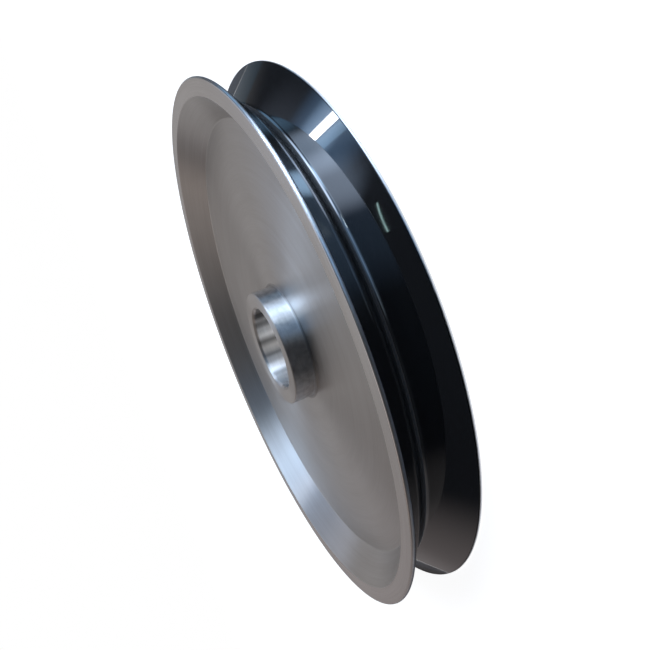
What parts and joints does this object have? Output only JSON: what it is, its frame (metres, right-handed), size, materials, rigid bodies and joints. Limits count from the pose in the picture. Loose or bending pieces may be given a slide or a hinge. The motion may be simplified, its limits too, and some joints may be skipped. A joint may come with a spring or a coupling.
{
  "type": "idler wheel",
  "caption": "Turned aluminium idler wheel with a glossy dark coated V-groove between thin rims, a dished flat web and a plain bored hub for bearings.",
  "frame": {"origin": "centre of the wheel, on the bore's axis at the groove's mid-plane", "axes": "+Z along the wheel's axis, out of the face that the picture shows; X and Y across the wheel"},
  "size_m": [0.2, 0.2, 0.0234],
  "materials": {
    "turned_aluminium": "bare, fine-turned on the faces, with concentric tool marks",
    "black_ceramic": "thin sprayed layer, near-black, polished to a gloss"
  },
  "bodies": {
    "root": {"wheel_body": "turned_aluminium", "groove_coating": "black_ceramic"}
  },
  "joints": []
}
